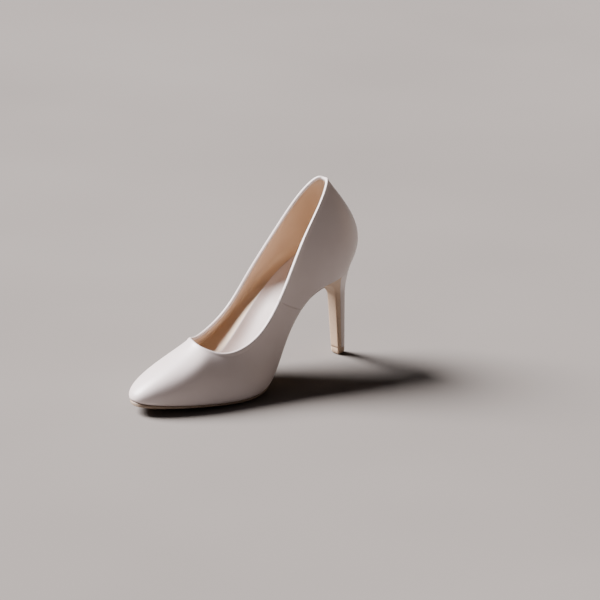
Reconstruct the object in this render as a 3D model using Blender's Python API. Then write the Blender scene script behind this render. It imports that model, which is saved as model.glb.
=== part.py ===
"""High heel pump, right shoe, EU 37 on an 80 mm heel, as a set of separate pieces.

The shoe is described in millimetres in its own frame: the toe points to -Y, the inner (medial)
side of the foot is +X, and the ground is z = 0.  Two things drive every piece:

* the wall, a smooth surface that runs around the shoe (ring coordinate c, 0 at the back seam,
  9 at the toe tip, 18 back at the back seam) and from the feather edge (v = 0) to the topline (v = 1);
* the seat plane, a ladder of cross lines between the two sides of the feather edge, which every
  layer of the bottom follows at its own height.
"""
import math

import bmesh
import bpy
import numpy as np

MM = 0.001
GAP = 0.3                      # clear space between pieces that touch

# --- the last -------------------------------------------------------------------------------
# Per station: feather edge point, topline point, then how far the wall swells outwards and
# upwards from the feather edge, and outwards and downwards from the topline.
STATIONS = (
    ("back", (0, -1.5, 80), (0, -28, 146.5), (13.5, 24), (12, 17)),
    ("back_inner", (13.5, -11.5, 79.5), (6, -30.5, 146.3), (13.5, 22), (11.5, 17)),
    ("seat_inner", (25.5, -33, 73), (14, -45, 133), (9.5, 20), (8.5, 14)),
    ("breast_inner", (25.5, -58, 66.5), (21, -68.5, 109.5), (6.5, 12.5), (3, 11.5)),
    ("waist_inner", (23.5, -83, 42.5), (28, -93.5, 78.5), (4, 9), (0.5, 10)),
    ("joint_inner", (29, -103, 16), (30.5, -117, 52.5), (2, 8), (1, 9.5)),
    ("ball_inner", (38.5, -131.5, 4), (28.5, -144, 40), (2, 11), (4, 9.5)),
    ("toe_inner", (29.5, -177, 5), (20, -160, 41.5), (1.5, 12), (9, 6)),
    ("tip_inner", (12.5, -211, 8.5), (9, -165, 45), (4, 12.5), (15, 9)),
    ("tip", (2.5, -219.5, 10), (0.5, -163, 45.5), (5, 12.5), (15, 11)),
    ("tip_outer", (-8.5, -217, 9.5), (-8.5, -157.5, 43.5), (6.5, 12), (11.5, 12)),
    ("toe_outer", (-26.5, -189, 7), (-23.5, -144, 37.5), (6.5, 12), (8, 11)),
    ("ball_outer", (-43, -145, 6.5), (-33, -124, 35.5), (6.5, 11.5), (4.5, 12)),
    ("joint_outer", (-40.5, -112.5, 17.5), (-34, -99, 49.5), (7.5, 9.5), (3.5, 11)),
    ("waist_outer", (-34.5, -80, 39.5), (-30, -79, 76.5), (9, 10), (2.5, 10)),
    ("breast_outer", (-31, -52, 61.5), (-21, -60, 108), (9.5, 13), (3, 13)),
    ("seat_outer", (-27, -28, 73), (-13, -43.5, 133), (9, 19), (6.5, 14.5)),
    ("back_outer", (-15, -8.5, 79), (-5.5, -30.5, 146.3), (13, 22), (10.5, 18)),
)
SIDE_STATIONS = len(STATIONS) // 2          # stations from the back seam to the toe tip
# How far the middle of the bottom hangs below its edges, from the back seam to the toe tip.
CROWN = (0, 1.5, 2.5, 2, 1.5, 1.5, 1.9, 2.4, 1.2, 0)

# --- the layers: depth into the wall, height above the seat plane ------------------------------
LEATHER = 1.0                  # outer leather
FOLD = 2.0                     # outer leather where it is folded over at the topline
FOLD_LENGTH = 6.0
RIM_RISE = 0.4                 # the folded rim's inner part stands this far above the topline
RIM_ROUND = 0.7                # and is this much narrower
STIFFENER_DEPTH = (1.6, 1.9)   # toe puff, heel counter and topline tape
STIFFENER_FOOT = 4.5           # toe puff and heel counter start this far above the feather edge
TAPE_BAND = (1.0, 4.5)         # edges of the topline tape, down from the fold
LINING_DEPTH = (2.45, 3.15)
LINING_DROP = 0.6              # the linings end this far below the topline
LINING_HEIGHT = (1.3, 1.9)     # the lining's lasting margin under the board
BOARD_HEIGHT = (2.5, 4.2)
PAD_HEIGHT = (4.5, 5.5)
FOREFOOT_PAD_INSET = 5.0
HEEL_PAD_RISE = 1.6
HEEL_PAD_BACK = 1.2            # the heel pad rises over this part of the ring from the back seam
HEEL_PAD_FRONT = (3.6, 2.4)    # and falls to nothing here, over this much of the ring
SOCK_THICKNESS = 1.3
SOLE_HEIGHT = (-2.8, -0.5)
HEEL_TOP = -0.7
SOLE_EDGE_RELIEF = 0.9         # the sole is skived thin at its edge
MARGIN_WIDTH = (6.0, 9.5)      # lasting margin at the toe tip and elsewhere
BOARD_INSET = 4.2
SOLE_INSET = 0.4
WAIST_INSET = 3.0              # the sole is narrower than the upper under the arch
WALL_START = 0.9               # a lasted sheet's wall begins this far above its margin
MARGIN_CORNER = 0.7            # a lasted sheet's lower corner is cut in by this
FILLER_CLEARANCE = 3.0
SHANK_HALF_WIDTH = 5.5
SHANK_UNDER, SHANK_UNDER_RIB = 1.2, 0.5     # underside at the edges, and how far the rib hangs
SHANK_TOP, SHANK_TOP_RIB = 2.0, 0.2

# --- places along the shoe, as ring coordinates -------------------------------------------------
SEAM_TOP = 4.33                # the inner side seam runs aslant from the topline
SEAM_FOOT = 3.6                # to the feather edge
LINING_SEAMS = (6.5, 11.5)
BREAST_LINE = 8 / 3            # the sole ends and the heel begins
BOARD_JOINT = 14 / 3           # stiff rear board meets flexible front board
JOINT_STEP = 0.01
BREAST_STEP = 0.02
FILLER_SPAN = (16 / 3, 22 / 3)
SHANK_SPAN = (4 / 3, 5.0)
TOE_PUFF_SPAN = (7.2, 10.9)
COUNTER_SPAN = (-3.4, 3.4)
TOE_PUFF_TOP = (0.3, 0.32)     # wall coordinate at its ends, and the rise to its middle
COUNTER_TOP = (0.35, 0.43)

# --- the heel --------------------------------------------------------------------------------
STEM_LEVELS = (5.3, 20.0, 34.0, 48.0)
STEM_TIP = {"half_width": 4.4, "front": -17.0, "back": -7.5}
STEM_TOP = {"half_width": 5.2, "front": -20.2, "back": -7.6}
STEM_ROUNDING = 0.7            # below 1 the stem's section is squarer than an ellipse
STEM_MIDDLE = -16.0            # the flare draws in towards this line
FLARE_LEVELS = 5
FLARE_DROP = 11.0              # the flare leaves the stem straight over this height
FLARE_SEAT = (2.0, 8.0)        # first step in and down from the seat, at the back
FLARE_BREAST = (8.0, -5.0)     # what is added to that step at the breast
CORNER_SHARE = 0.22            # the breast's pull fades over this share of the way around
SEAT_INSET = 0.6               # the heel stands inside the feather edge
HEEL_COVER = 0.6
COVER_EDGE = 0.125             # where the back cover meets the breast cover, as a share of the way around
COVER_EDGE_GAP = 0.006
HEEL_CORE_INSET = 1.4
TOP_PIECE_HEIGHT = 5.0
TOP_PIECE_BEVEL = (0.7, 0.5)   # height and width of its rounded tread edge
TUBE_OUTER, TUBE_INNER = 1.8, 1.2
TUBE_ENDS = (5.6, 46.0)
TUBE_HOLE_FOOT = 4.0
PIN_RADIUS = 0.85
PIN_ENDS = (2.0, 16.0)
PIN_CLEARANCE = 0.1

ROUND_SIDES = 10
AROUND = 3                     # grid steps between two stations
HEEL_ACROSS = 7                # points across the breast and the seat of the heel


# ============================ smooth surfaces =================================================
def closed_spline(knots, values, places):
    """A periodic cubic spline through the values, read at the given places."""
    count = len(values)
    steps = np.diff(knots)
    matrix = np.zeros((count, count))
    right = np.zeros((count, values.shape[1]))
    for i in range(count):
        before, after = steps[i - 1], steps[i]
        matrix[i, i - 1] += before
        matrix[i, i] += 2 * (before + after)
        matrix[i, (i + 1) % count] += after
        slope_after = (values[(i + 1) % count] - values[i]) / after
        slope_before = (values[i] - values[i - 1]) / before
        right[i] = 6 * (slope_after - slope_before)
    bend = np.linalg.solve(matrix, right)
    places = np.mod(places, knots[-1])
    k = np.clip(np.searchsorted(knots, places, side="right") - 1, 0, count - 1)
    nxt = (k + 1) % count
    left = (knots[k + 1] - places)[..., None]
    ahead = (places - knots[k])[..., None]
    span = steps[k][..., None]
    curved = (bend[k] * left ** 3 + bend[nxt] * ahead ** 3) / (6 * span)
    straight_left = (values[k] / span - bend[k] * span / 6) * left
    straight_right = (values[nxt] / span - bend[nxt] * span / 6) * ahead
    return curved + straight_left + straight_right


class Last:
    """The shape that the shoe is built on: wall and seat plane, in millimetres."""

    def __init__(self):
        feather = np.array([s[1] for s in STATIONS], float)
        topline = np.array([s[2] for s in STATIONS], float)
        low = np.array([s[3] for s in STATIONS], float)
        high = np.array([s[4] for s in STATIONS], float)
        feather_step = np.linalg.norm(np.roll(feather, -1, 0)[:, :2] - feather[:, :2], axis=1)
        topline_step = np.linalg.norm(np.roll(topline, -1, 0)[:, :2] - topline[:, :2], axis=1)
        steps = feather_step ** 0.8 + 0.35 * topline_step ** 0.8
        self.knots = np.concatenate([[0], np.cumsum(steps)])
        self.feather = feather
        small = 0.01
        tangent = (closed_spline(self.knots, feather, self.knots[:-1] + small)
                   - closed_spline(self.knots, feather, self.knots[:-1] - small))
        outward = np.stack([-tangent[:, 1], tangent[:, 0], np.zeros(len(feather))], 1)
        self.outward = outward / np.linalg.norm(outward, axis=1)[:, None]
        up = np.array([0.0, 0.0, 1.0])
        lower = feather + self.outward * low[:, :1] + up * low[:, 1:]
        upper = topline + self.outward * high[:, :1] - up * high[:, 1:]
        self.controls = (feather, lower, upper, topline)
        self.sides = self.side_tables()

    def place(self, c):
        return np.interp(np.mod(c, len(STATIONS)), np.arange(len(STATIONS) + 1), self.knots)

    def surface(self, c, v):
        """The outer face of the wall; v may run a little past 1."""
        c, v = np.broadcast_arrays(np.asarray(c, float), np.asarray(v, float))
        place = self.place(c)
        weights = ((1 - v) ** 3, 3 * (1 - v) ** 2 * v, 3 * (1 - v) * v ** 2, v ** 3)
        return sum(w[..., None] * closed_spline(self.knots, ring, place)
                   for w, ring in zip(weights, self.controls))

    def wall(self, c, v, depth=0.0, rise=0.0):
        """A point of the wall, this deep inside it and this far along it above v."""
        small = 0.002
        along = self.surface(c + small, v) - self.surface(c - small, v)
        upwards = self.surface(c, v + small) - self.surface(c, v - small)
        upwards = upwards / np.linalg.norm(upwards, axis=-1)[..., None]
        outward = np.cross(upwards, along)
        outward = outward / np.linalg.norm(outward, axis=-1)[..., None]
        depth, rise = np.asarray(depth, float)[..., None], np.asarray(rise, float)[..., None]
        return self.surface(c, v) - outward * depth + upwards * rise

    def v_at_height(self, c, height):
        """The wall coordinate this far up from the feather edge."""
        small = 0.01
        speed = np.linalg.norm(self.surface(c, 0 * c + small) - self.surface(c, 0 * c), axis=-1)
        return height * small / speed

    def v_below_top(self, c, distance):
        """The wall coordinate this far down from the topline."""
        small = 0.01
        speed = np.linalg.norm(self.surface(c, 0 * c + 1) - self.surface(c, 0 * c + 1 - small), axis=-1)
        return 1 - distance * small / speed

    def edge(self, c, inset):
        """The feather edge, moved inwards in plan."""
        place = self.place(c)
        ring = closed_spline(self.knots, self.feather, place)
        outward = closed_spline(self.knots, self.outward, place)
        outward = outward / np.linalg.norm(outward, axis=-1)[..., None]
        return ring - outward * np.asarray(inset, float)[..., None]

    def side_tables(self):
        """Dense rows of (y, x, z, c) along each side of the feather edge, with rising y."""
        c = np.linspace(0, SIDE_STATIONS, 40 * SIDE_STATIONS + 1)
        tables = []
        for ring in (c, 2.0 * SIDE_STATIONS - c):
            points = self.edge(ring, 0 * c)
            y = np.minimum.accumulate(points[:, 1])
            tables.append(np.stack([y, points[:, 0], points[:, 2], c])[:, ::-1])
        return tables

    def bed_height(self, x, y):
        """The height of the seat plane over a point of the ground."""
        inner, outer = self.sides
        x_in, x_out = np.interp(y, inner[0], inner[1]), np.interp(y, outer[0], outer[1])
        z_in, z_out = np.interp(y, inner[0], inner[2]), np.interp(y, outer[0], outer[2])
        crown = np.interp(np.interp(y, inner[0], inner[3]), np.arange(SIDE_STATIONS + 1), CROWN)
        half = np.maximum((x_in - x_out) / 2, 1e-3)
        k = np.clip((x - (x_in + x_out) / 2) / half, -1, 1)
        return (z_in + z_out) / 2 + k * (z_in - z_out) / 2 - crown * (1 - k ** 2)

    def on_bed(self, point, height):
        """Drop a plan point on to the seat plane, then lift it square to the plane."""
        x, y = point[..., 0], point[..., 1]
        point[..., 2] = self.bed_height(x, y)
        return point + self.bed_normal(y) * np.asarray(height, float)[..., None]

    def bed(self, c, s, height=0.0, inset=0.0):
        """A point of cross line c, from the outer side (s = -1) to the inner side (s = 1)."""
        c, s = np.broadcast_arrays(np.asarray(c, float), np.asarray(s, float))
        inner, outer = self.edge(c, inset), self.edge(2.0 * SIDE_STATIONS - c, inset)
        return self.on_bed((inner + outer) / 2 + s[..., None] * (inner - outer) / 2, height)

    def side_bed(self, c, inset, height):
        """A point of the seat plane beside the ring coordinate c, this far in from the edge."""
        return self.on_bed(self.edge(c, inset), height)

    def bed_normal(self, y):
        """The upward normal of the seat plane, in side view."""
        reach = 2.0
        middle = [self.bed_height(self.middle_x(y + step), y + step) for step in (-reach, reach)]
        slope = (middle[1] - middle[0]) / (2 * reach)
        normal = np.stack([np.zeros_like(slope), -slope, np.ones_like(slope)], -1)
        return normal / np.linalg.norm(normal, axis=-1)[..., None]

    def middle_x(self, y):
        inner, outer = self.sides
        return (np.interp(y, inner[0], inner[1]) + np.interp(y, outer[0], outer[1])) / 2


LAST = Last()


def smooth_step(x):
    x = np.clip(x, 0, 1)
    return x * x * (3 - 2 * x)


def margin_width(c):
    """The lasting margin is short around the toe tip and full elsewhere."""
    from_tip = np.abs(np.mod(c, 2 * SIDE_STATIONS) - SIDE_STATIONS)
    short, full = MARGIN_WIDTH
    return short + (full - short) * smooth_step((from_tip - 1) / 1.5)


# ============================ meshes and materials ============================================
def material(name, colour, roughness, metallic=0.0):
    made = bpy.data.materials.new(name)
    made.use_nodes = True
    shader = made.node_tree.nodes["Principled BSDF"]
    shader.inputs["Base Color"].default_value = (*colour, 1.0)
    shader.inputs["Roughness"].default_value = roughness
    shader.inputs["Metallic"].default_value = metallic
    made.diffuse_color = (*colour, 1.0)
    return made


def add_piece(name, points, faces, made, smooth=True):
    """One named object from points in millimetres, with outward faces."""
    mesh = bpy.data.meshes.new(name)
    mesh.from_pydata([tuple(p) for p in np.asarray(points) * MM], [], faces)
    work = bmesh.new()
    work.from_mesh(mesh)
    bmesh.ops.remove_doubles(work, verts=work.verts, dist=0.00001)
    bmesh.ops.dissolve_degenerate(work, edges=work.edges, dist=0.00001)
    bmesh.ops.recalc_face_normals(work, faces=work.faces)
    for face in work.faces:
        face.smooth = smooth
    work.to_mesh(mesh)
    work.free()
    mesh.materials.append(made)
    piece = bpy.data.objects.new(name, mesh)
    bpy.context.collection.objects.link(piece)
    piece.parent = bpy.data.objects["pump"]
    return piece


def slab(name, outside, inside, made, closed=False):
    """A sheet with thickness from two matching grids; closed joins its first and last rows."""
    rows, columns = outside.shape[:2]
    points = np.concatenate([outside.reshape(-1, 3), inside.reshape(-1, 3)])
    half = rows * columns

    def at(row, column, side):
        return side * half + (row % rows) * columns + column

    faces = []
    for row in range(rows if closed else rows - 1):
        for column in range(columns - 1):
            for side in (0, 1):
                faces.append((at(row, column, side), at(row + 1, column, side),
                              at(row + 1, column + 1, side), at(row, column + 1, side)))
        for column in (0, columns - 1):
            faces.append((at(row, column, 0), at(row + 1, column, 0),
                          at(row + 1, column, 1), at(row, column, 1)))
    if not closed:
        for row in (0, rows - 1):
            for column in range(columns - 1):
                faces.append((at(row, column, 0), at(row, column + 1, 0),
                              at(row, column + 1, 1), at(row, column, 1)))
    return add_piece(name, points, faces, made)


def revolve(name, profile, start, axis, made, grow=0.0):
    """A turned piece: profile holds (distance along the axis, radius) pairs."""
    axis = np.asarray(axis, float) / np.linalg.norm(axis)
    side = np.cross(axis, (1.0, 0.0, 0.0))
    side = side / np.linalg.norm(side)
    other = np.cross(axis, side)
    angles = np.arange(ROUND_SIDES) * 2 * math.pi / ROUND_SIDES
    circle = np.cos(angles)[:, None] * side + np.sin(angles)[:, None] * other
    points, faces = [], []
    for level, (distance, radius) in enumerate(profile):
        at_end = -grow if level == 0 else (grow if level == len(profile) - 1 else 0)
        points.extend(np.asarray(start) + axis * (distance + at_end) + circle * (radius + grow))
    for level in range(len(profile) - 1):
        for k in range(ROUND_SIDES):
            here, there = level * ROUND_SIDES + k, level * ROUND_SIDES + (k + 1) % ROUND_SIDES
            faces.append((here, there, there + ROUND_SIDES, here + ROUND_SIDES))
    faces.append(tuple(range(ROUND_SIDES)))
    faces.append(tuple(range(len(points) - ROUND_SIDES, len(points))))
    return add_piece(name, points, faces, made, smooth=False)


def cut(piece, cutter):
    cutter.hide_render = True
    cutter.display_type = "WIRE"
    hole = piece.modifiers.new("hole_" + cutter.name, "BOOLEAN")
    hole.operation = "DIFFERENCE"
    hole.solver = "EXACT"
    hole.object = cutter


# ============================ the upper =======================================================
WALL_STEPS = np.arange(1, 7) / 7


def column(c_low, c_high, t, v_at):
    """Ring and wall coordinates of one column of points, between two edges that may run aslant."""
    c = c_low(0.5) + t * (c_high(0.5) - c_low(0.5))
    v = v_at(c)
    return c_low(v) + t * (c_high(v) - c_low(v)), v


def wall_sheet(c_low, c_high, count, depth, height, top):
    """Grids of a sheet that is lasted over the bottom and ends below the topline.

    c_low and c_high give the sheet's two edges as ring coordinates at each v.  The sheet lies
    between the two depths in the wall and the two heights under the board, and `top` is its
    distance down from the topline.
    """
    t = np.linspace(0, 1, count)
    foot = c_low(0 * t) + t * (c_high(0 * t) - c_low(0 * t))
    lowest = height[1] + WALL_START
    grids = []
    for side in (0, 1):
        columns = [LAST.side_bed(foot, margin_width(foot), height[side] + 0 * foot),
                   LAST.side_bed(foot, depth[side] + MARGIN_CORNER + 0 * foot, height[side] + 0 * foot)]
        for share in (0, *WALL_STEPS, 1):
            c, v = column(c_low, c_high, t, lambda c: between(c, lowest, top, share))
            columns.append(LAST.wall(c, v, depth[side] + 0 * c))
        grids.append(np.stack(columns, 1))
    return grids


def between(c, up, down, share):
    """A wall coordinate between one so far up from the feather edge and one below the topline."""
    low, high = LAST.v_at_height(c, up), LAST.v_below_top(c, down)
    return low + (high - low) * share


def outer_leather(c_low, c_high, count):
    """Grids of an upper section: lasted under the board, folded over at the topline."""
    sheet = wall_sheet(c_low, c_high, count, (0.0, LEATHER), (0.0, LEATHER), FOLD_LENGTH)
    t = np.linspace(0, 1, count)
    fold, fold_v = column(c_low, c_high, t, lambda c: LAST.v_below_top(c, FOLD_LENGTH - RIM_RISE))
    rim, rim_v = column(c_low, c_high, t, lambda c: 1 + 0 * c)
    grids = []
    for grid, deep, round_in in zip(sheet, (0.0, FOLD), (RIM_ROUND, -RIM_ROUND)):
        extra = [LAST.wall(fold, fold_v, deep + 0 * fold),
                 LAST.wall(rim, rim_v, deep + 0 * rim, -RIM_RISE + 0 * rim),
                 LAST.wall(rim, rim_v, deep + round_in + 0 * rim, RIM_RISE + 0 * rim)]
        grids.append(np.concatenate([grid, np.stack(extra, 1)], 1))
    return grids


def seam(v):
    """Ring coordinate of the inner side seam."""
    return SEAM_FOOT + (SEAM_TOP - SEAM_FOOT) * v


def seam_clearance(c, v):
    """Half of the gap, as a step of the ring coordinate."""
    small = 0.01
    step = LAST.surface(c + small + 0 * v, v) - LAST.surface(c + 0 * v, v)
    return GAP / 2 * small / np.linalg.norm(step, axis=-1)


def make_vamp(made):
    whole = 2 * SIDE_STATIONS
    grids = outer_leather(lambda v: seam(v) + seam_clearance(seam(v), v),
                          lambda v: whole - seam_clearance(0.0, v), 13 * AROUND + 1)
    return slab("vamp", *grids, made)


def make_inside_quarter(made):
    grids = outer_leather(lambda v: seam_clearance(0.0, v),
                          lambda v: seam(v) - seam_clearance(seam(v), v), 5 * AROUND + 1)
    return slab("inside_quarter", *grids, made)


def lining(name, c_low, c_high, made):
    steps = int((c_high - c_low) * AROUND) + 1
    grids = wall_sheet(lambda v: c_low + seam_clearance(c_low, v),
                       lambda v: c_high - seam_clearance(c_high, v),
                       steps, LINING_DEPTH, LINING_HEIGHT, LINING_DROP)
    return slab(name, *grids, made)


def make_vamp_lining(made):
    return lining("vamp_lining", LINING_SEAMS[0], LINING_SEAMS[1], made)


def make_quarter_lining(made):
    whole = 2 * SIDE_STATIONS
    return lining("quarter_lining", LINING_SEAMS[1] - whole, LINING_SEAMS[0], made)


def stiffener(name, span, height, made):
    """A moulded sheet between leather and lining, with an arched top edge."""
    c_low, c_high = span
    count = int((c_high - c_low) * AROUND) + 1
    t = np.linspace(0, 1, count)
    c = c_low + t * (c_high - c_low)
    bottom = LAST.v_at_height(c, STIFFENER_FOOT)
    top = height[0] + height[1] * np.sin(math.pi * t)
    grids = []
    for depth in STIFFENER_DEPTH:
        columns = [LAST.wall(c, bottom + (top - bottom) * k, depth + 0 * c)
                   for k in np.linspace(0, 1, 9)]
        grids.append(np.stack(columns, 1))
    return slab(name, *grids, made)


def make_toe_puff(made):
    return stiffener("toe_puff", TOE_PUFF_SPAN, TOE_PUFF_TOP, made)


def make_heel_counter(made):
    return stiffener("heel_counter", COUNTER_SPAN, COUNTER_TOP, made)


def make_topline_tape(made):
    """A closed band just under the folded edge."""
    c = np.arange(0, 2 * SIDE_STATIONS, 1 / AROUND)
    grids = []
    for depth in STIFFENER_DEPTH:
        columns = [LAST.wall(c, LAST.v_below_top(c, FOLD_LENGTH + down), depth + 0 * c)
                   for down in TAPE_BAND]
        grids.append(np.stack(columns, 1))
    return slab("topline_tape", *grids, made, closed=True)


# ============================ the bottom ======================================================
def cross_lines(c_low, c_high):
    """The two ends and every shared grid line between them."""
    shared = np.arange(0, SIDE_STATIONS, 1 / AROUND)
    near = 0.3 / AROUND
    inside = shared[(shared > c_low + near) & (shared < c_high - near)]
    return np.concatenate([[c_low], inside, [c_high]])


def plate(name, c_low, c_high, low, high, inset, made, across=6, narrow=None):
    """A layer of the bottom between two cross lines and two heights.

    low, high and inset may be numbers or functions of c and s; narrow, where given, is the
    layer's half width in place of the full width.
    """
    lines = cross_lines(c_low, c_high)
    c = lines[:, None] + np.zeros(across + 1)
    s = np.zeros((len(lines), 1)) + np.linspace(-1, 1, across + 1)
    if narrow is not None:
        width = np.linalg.norm(LAST.bed(c, 1 + 0 * c) - LAST.bed(c, -1 + 0 * c), axis=-1) / 2
        s = s * narrow(c) / width
    inset = inset(c) if callable(inset) else inset + 0 * c
    across_share = np.where((c == 0) | (c == SIDE_STATIONS), 1.0, s)    # a point is all edge
    grids = []
    for height in (high, low):
        height = height(c, across_share) if callable(height) else height + 0 * c
        grids.append(LAST.bed(c, s, height, inset))
    return slab(name, *grids, made)


def make_insole_board(made):
    return plate("insole_board", BOARD_JOINT + JOINT_STEP, SIDE_STATIONS, *BOARD_HEIGHT, BOARD_INSET, made)


def make_shank_board(made):
    return plate("shank_board", 0, BOARD_JOINT, *BOARD_HEIGHT, BOARD_INSET, made)


def make_forefoot_pad(made):
    return plate("forefoot_pad", BOARD_JOINT + JOINT_STEP, SIDE_STATIONS - 1, *PAD_HEIGHT,
                 FOREFOOT_PAD_INSET, made)


def heel_pad_rise(c, s):
    """The pad under the heel is thickest in the middle of the seat."""
    end, length = HEEL_PAD_FRONT
    along = smooth_step(c / HEEL_PAD_BACK) * smooth_step((end - c) / length)
    return HEEL_PAD_RISE * along * (1 - s ** 2)


def make_heel_pad(made):
    return plate("heel_pad", 0, BOARD_JOINT, PAD_HEIGHT[0],
                 lambda c, s: PAD_HEIGHT[1] + heel_pad_rise(c, s), BOARD_INSET, made)


def make_sock_lining(made):
    under = PAD_HEIGHT[1] + GAP
    return plate("sock_lining", 0, SIDE_STATIONS, lambda c, s: under + heel_pad_rise(c, s),
                 lambda c, s: under + SOCK_THICKNESS + heel_pad_rise(c, s), BOARD_INSET, made)


def make_bottom_filler(made):
    return plate("bottom_filler", *FILLER_SPAN, 0.0, LINING_HEIGHT[1], 0.0, made, across=4,
                 narrow=filler_half_width)


def filler_half_width(c):
    """The filler lies between the lasting margins of both sides."""
    full = LAST.bed(c, 1 + 0 * c) - LAST.bed(c, -1 + 0 * c)
    return np.linalg.norm(full, axis=-1) / 2 - margin_width(c) - FILLER_CLEARANCE


def sole_inset(c):
    """The sole edge shows at the forepart and hides under the arch."""
    return SOLE_INSET + (WAIST_INSET - SOLE_INSET) * smooth_step((6.0 - c) / 1.5)


def make_outsole(made):
    """The tread is flat where it stands on the ground."""
    low, high = SOLE_HEIGHT
    sole = plate("outsole", BREAST_LINE + BREAST_STEP, SIDE_STATIONS,
                 lambda c, s: low + SOLE_EDGE_RELIEF * np.abs(s) ** 6, high, sole_inset, made)
    for vertex in sole.data.vertices:
        vertex.co.z = max(vertex.co.z, 0.0)
    return sole


def make_steel_shank(made):
    """A steel strip with a rib pressed along its middle."""
    def rib(s):
        return np.cos(2 * math.pi * s)

    return plate("steel_shank", *SHANK_SPAN, lambda c, s: SHANK_UNDER - SHANK_UNDER_RIB * rib(s),
                 lambda c, s: SHANK_TOP - SHANK_TOP_RIB * rib(s), 0.0, made, across=4,
                 narrow=lambda c: SHANK_HALF_WIDTH + 0 * c)


# ============================ the heel ========================================================
def stem_size(z):
    """Half width, front and back of the heel stem at a height."""
    t = (z - STEM_LEVELS[0]) / (STEM_LEVELS[-1] - STEM_LEVELS[0])
    return {key: STEM_TIP[key] + (STEM_TOP[key] - STEM_TIP[key]) * t for key in STEM_TIP}


def stem_outline(z, turn, shrink):
    """The D-shaped section: turn runs 0..1 from the inner front corner around the back."""
    size = stem_size(z)
    angle = math.pi * turn
    half = size["half_width"] - shrink
    front, back = size["front"] + shrink, size["back"] - shrink
    x = half * np.sign(np.cos(angle)) * np.abs(np.cos(angle)) ** STEM_ROUNDING
    y = front + (back - front) * np.sin(angle)
    return np.stack([x, y, z + 0 * turn], -1)


def heel_outline(turn, level, shrink):
    """One ring of the heel, from the seat (level 0) to the stem's foot, breast line left out."""
    flare_end = STEM_LEVELS[-1]
    if level >= FLARE_LEVELS:
        z = STEM_LEVELS[len(STEM_LEVELS) - 1 - (level - FLARE_LEVELS)]
        return stem_outline(z, turn, shrink)
    t = level / FLARE_LEVELS
    c = BREAST_LINE * np.abs(1 - 2 * turn)
    ring = np.where(turn < 0.5, c, 2 * SIDE_STATIONS - c)
    seat = LAST.side_bed(ring, SEAT_INSET + shrink + 0 * turn, HEEL_TOP + 0 * turn)
    seat[:, 1] += shrink * breast_share(turn)
    return flare(seat, stem_outline(flare_end, turn, shrink), t, breast_share(turn))


def breast_share(turn):
    """1 at the two front corners, falling to 0 towards the back."""
    return 1 - smooth_step(np.minimum(turn, 1 - turn) / CORNER_SHARE)


def flare(seat, stem, t, breast):
    """The swell from the stem to the seat; near the breast it first runs level to the back."""
    axis = np.array([0.0, STEM_MIDDLE, 0.0])
    inward = axis - seat
    inward[..., 2] = 0
    inward = inward / np.linalg.norm(inward, axis=-1)[..., None]
    breast = np.asarray(breast, float)[..., None]
    step_in, step_down = (back + more * breast for back, more in zip(FLARE_SEAT, FLARE_BREAST))
    first = seat + inward * step_in - np.array([0, 0, 1.0]) * step_down
    second = stem + np.array([0, 0, FLARE_DROP])
    return ((1 - t) ** 3 * seat + 3 * (1 - t) ** 2 * t * first
            + 3 * (1 - t) * t ** 2 * second + t ** 3 * stem)


def breast_row(level, across, shrink):
    """The breast face between the two front corners; across runs 1..-1."""
    corners = heel_outline(np.array([0.0, 1.0]), level, shrink)
    if level >= FLARE_LEVELS:
        return corners[1] + (corners[0] - corners[1]) * ((across[:, None] + 1) / 2)
    seat = LAST.bed(BREAST_LINE + 0 * across, across, HEEL_TOP + 0 * across,
                    SEAT_INSET + shrink + 0 * across)
    seat[:, 1] += shrink
    stem_corners = stem_outline(STEM_LEVELS[-1], np.array([0.0, 1.0]), shrink)
    stem = stem_corners[1] + (stem_corners[0] - stem_corners[1]) * ((across[:, None] + 1) / 2)
    return flare(seat, stem, level / FLARE_LEVELS, 1 + 0 * across)


def heel_turns():
    """Places around the heel that meet the shared cross lines at the seat."""
    return np.linspace(0, 1, 2 * round(BREAST_LINE * AROUND) + 1)


def heel_levels():
    return FLARE_LEVELS + len(STEM_LEVELS)


def make_heel_core(made):
    turns = heel_turns()
    across = np.linspace(-1, 1, HEEL_ACROSS)
    rings = [np.concatenate([heel_outline(turns, level, HEEL_CORE_INSET),
                             breast_row(level, across[1:-1], HEEL_CORE_INSET)])
             for level in range(heel_levels())]
    around = len(rings[0])
    points, faces = list(np.concatenate(rings)), []
    for level in range(len(rings) - 1):
        for k in range(around):
            here, there = level * around + k, level * around + (k + 1) % around
            faces.append((here, there, there + around, here + around))
    faces.append(tuple(range((len(rings) - 1) * around, len(rings) * around)))
    cap_points, cap_faces = seat_cap(HEEL_CORE_INSET, across)
    faces.extend(tuple(len(points) + k for k in face) for face in cap_faces)
    return add_piece("heel_core", points + list(cap_points), faces, made)


def seat_cap(shrink, across):
    """The cupped top of the heel: points by cross lines, and the faces between them."""
    lines = cross_lines(0, BREAST_LINE)
    c = lines[:, None] + np.zeros(len(across))
    s = np.zeros((len(lines), 1)) + across
    cap = LAST.bed(c, s, HEEL_TOP + 0 * c, SEAT_INSET + shrink + 0 * c)
    cap[..., 1] += shrink * breast_share((1 - c / BREAST_LINE) / 2)
    columns = len(across)
    faces = []
    for row in range(len(lines) - 1):
        for k in range(columns - 1):
            here = row * columns + k
            faces.append((here, here + 1, here + columns + 1, here + columns))
    return cap.reshape(-1, 3), faces


def make_heel_cover(made):
    """The upper's leather over the back and the rear of both sides."""
    turns = heel_turns()
    turns = turns[(turns > COVER_EDGE) & (turns < 1 - COVER_EDGE)]
    edge = COVER_EDGE + COVER_EDGE_GAP
    turns = np.concatenate([[edge], turns, [1 - edge]])
    grids = [np.stack([heel_outline(turns, level, shrink) for level in range(heel_levels())], 1)
             for shrink in (0.0, HEEL_COVER)]
    return slab("heel_cover", *grids, made)


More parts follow.
